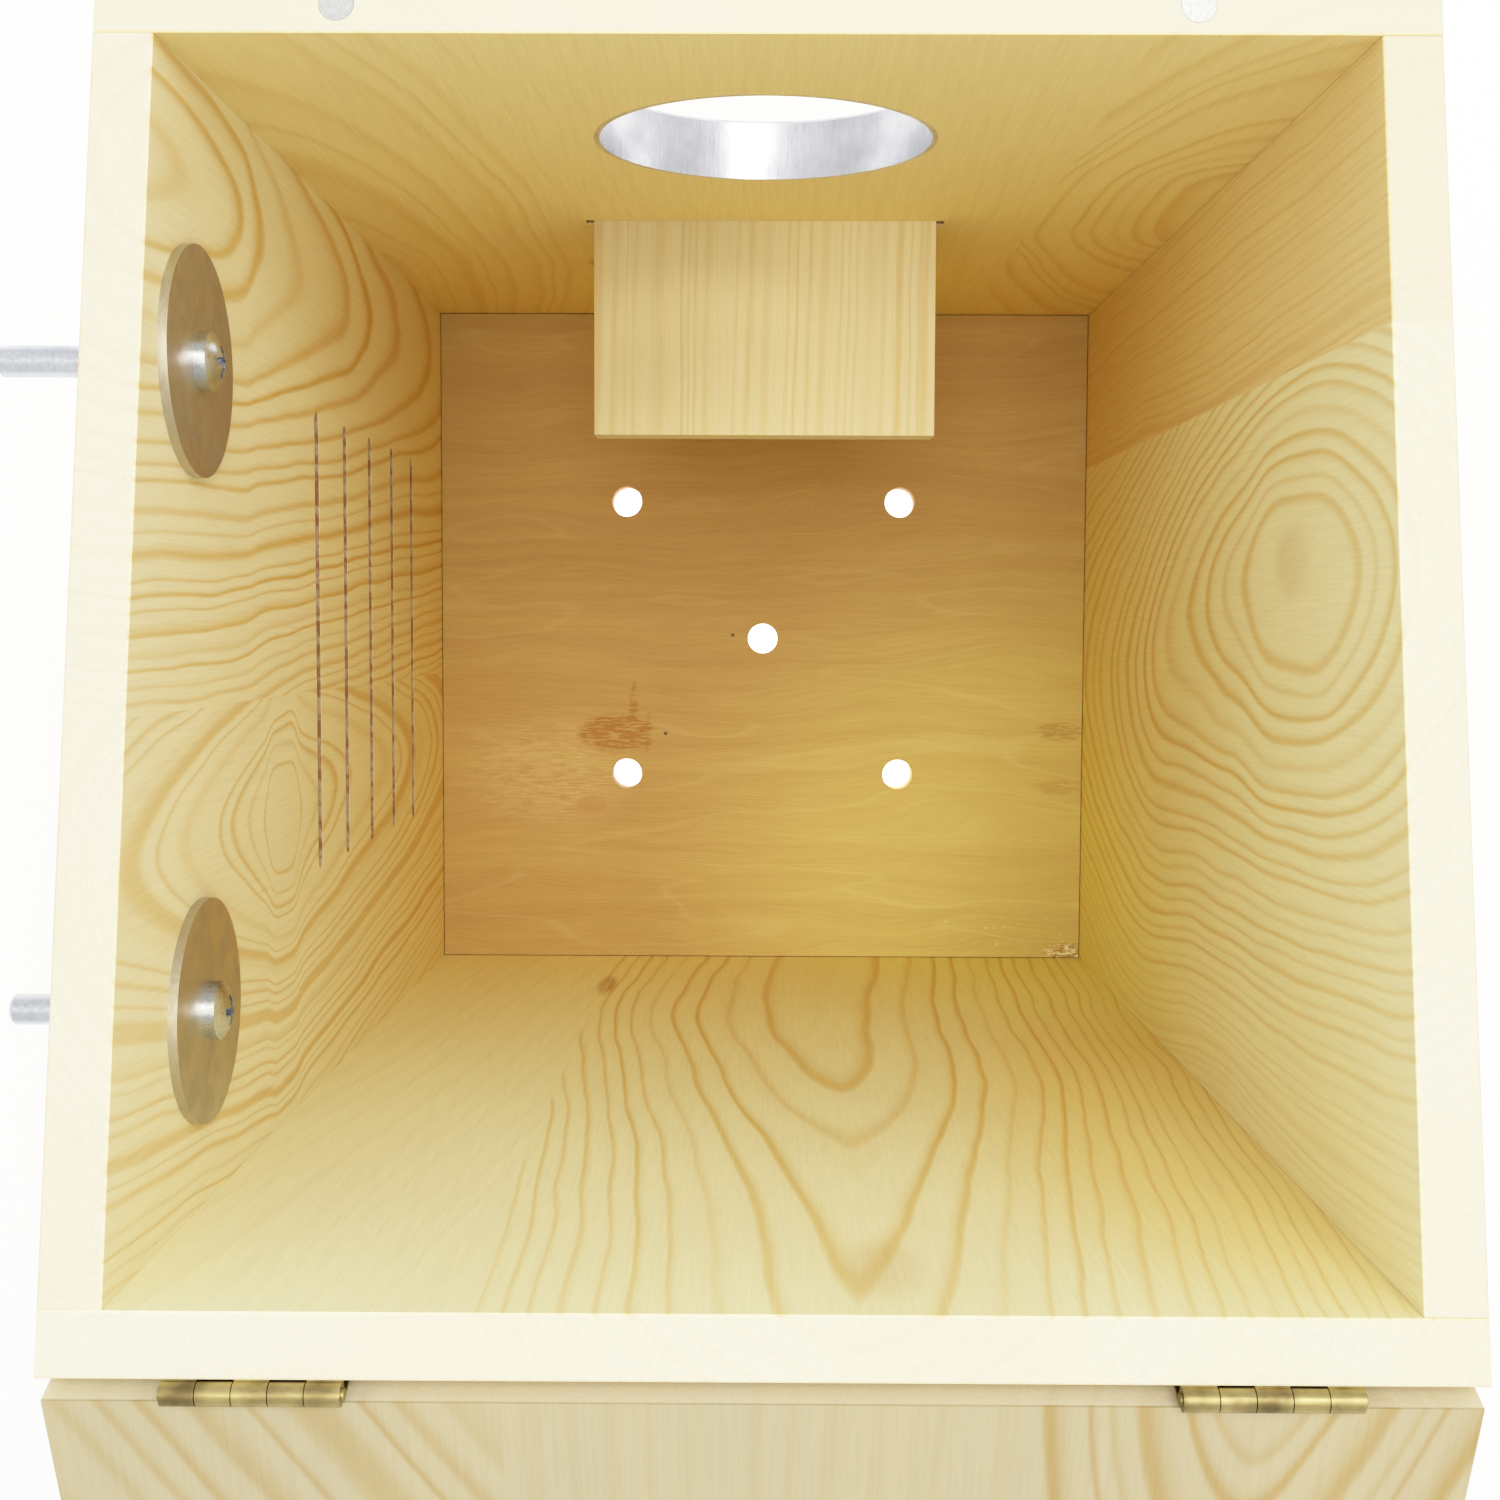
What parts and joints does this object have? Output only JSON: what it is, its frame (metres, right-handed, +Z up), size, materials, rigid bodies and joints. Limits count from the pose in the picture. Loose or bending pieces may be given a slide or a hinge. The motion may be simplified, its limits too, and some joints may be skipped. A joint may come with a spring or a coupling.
{
  "type": "bird nest box",
  "caption": "Wooden nest box for small parrots: hinged sloping lid standing open, round metal-lined entrance, inside step, climbing grooves and side bolts to hang it on a cage.",
  "frame": {"origin": "centre of the underside of the box's base, where it stands", "axes": "+Z up; -Y out of the entrance, square to the front wall; +Y towards the lid's hinges; +X towards the side wall that carries the climbing grooves and the hanging bolts."},
  "size_m": [0.2216, 0.4054, 0.3018],
  "materials": {
    "pine": "bare planed pine",
    "plywood": "bare plywood, lightly scuffed",
    "step_pine": "bare planed pine",
    "zinc_steel": "bright zinc plate",
    "nail_steel": "plain bright steel",
    "ring_steel": "bright brushed steel",
    "magnet_nickel": "nickel plate",
    "brass": "thin brass plate, slightly dull"
  },
  "bodies": {
    "case": {"front_wall": "pine", "rear_wall": "pine", "grooved_side_wall": "pine", "plain_side_wall": "pine", "floor_panel": "plywood", "wall_nails": "nail_steel", "floor_nails": "nail_steel", "inside_step": "step_pine", "step_screws": "zinc_steel", "entrance_liner": "ring_steel", "entrance_plate": "ring_steel", "plate_screws": "zinc_steel", "rim_magnets": "magnet_nickel", "hanging_bolts": "zinc_steel", "inner_washers": "zinc_steel", "left_hinge_wall_leaf": "brass", "right_hinge_wall_leaf": "brass", "left_hinge_pin": "brass", "right_hinge_pin": "brass", "hinge_wall_screws": "brass"},
    "lid": {"lid_board": "pine", "lid_magnets": "magnet_nickel", "left_hinge_lid_leaf": "brass", "right_hinge_lid_leaf": "brass", "hinge_lid_screws": "brass"},
    "front_washer": {"front_clamp_washer": "zinc_steel"},
    "front_nut": {"front_clamp_nut": "zinc_steel"},
    "rear_washer": {"rear_clamp_washer": "zinc_steel"},
    "rear_nut": {"rear_clamp_nut": "zinc_steel"}
  },
  "joints": [
    {"name": "lid_hinge", "type": "hinge", "parent": "case", "child": "lid", "pos_m": [0, 0.10195, 0.30015], "axis": [1, 0, 0], "range_deg": [0, 211.9]},
    {"name": "front_washer_slide", "type": "slide", "parent": "case", "child": "front_washer", "axis": [1, 0, 0], "range_m": [0, 0.012]},
    {"name": "front_nut_turn", "type": "hinge", "parent": "front_washer", "child": "front_nut", "pos_m": [0.1037, -0.045, 0.249], "axis": [1, 0, 0], "range_deg": [0, 5401]},
    {"name": "rear_washer_slide", "type": "slide", "parent": "case", "child": "rear_washer", "axis": [1, 0, 0], "range_m": [0, 0.012]},
    {"name": "rear_nut_turn", "type": "hinge", "parent": "rear_washer", "child": "rear_nut", "pos_m": [0.1037, 0.059, 0.249], "axis": [1, 0, 0], "range_deg": [0, 5401]}
  ],
  "couplings": [
    {"joint": "front_nut_turn", "follows": "front_washer_slide", "rad_per_m": 7854},
    {"joint": "rear_nut_turn", "follows": "rear_washer_slide", "rad_per_m": 7854}
  ]
}
